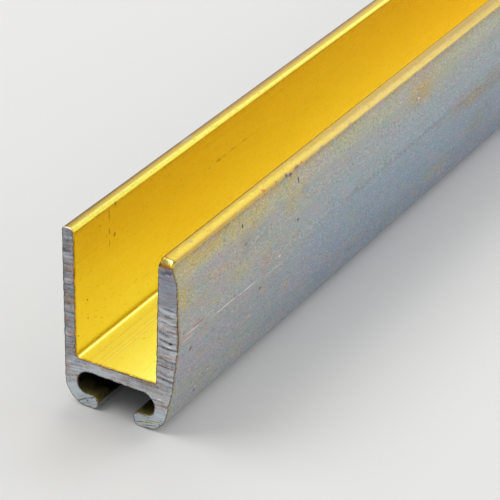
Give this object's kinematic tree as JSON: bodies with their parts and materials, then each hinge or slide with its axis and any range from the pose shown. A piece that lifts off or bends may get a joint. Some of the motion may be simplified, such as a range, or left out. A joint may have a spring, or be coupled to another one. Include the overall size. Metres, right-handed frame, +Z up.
{
  "type": "brass u-channel",
  "caption": "Straight length of extruded brass u-channel with a deep open groove on top and a narrow T-slot between two inturned lips below.",
  "frame": {"origin": "middle of the length and of the section's overall width, on the level that the two lips stand on", "axes": "+X along the stock, +Y across it towards the thin wall, +Z up, out of the open groove"},
  "size_m": [0.3, 0.014, 0.0209],
  "materials": {
    "brass": "as extruded: bright satin in the groove, dull grey tarnish outside, rough sawn ends"
  },
  "bodies": {
    "root": {"channel": "brass"}
  },
  "joints": []
}
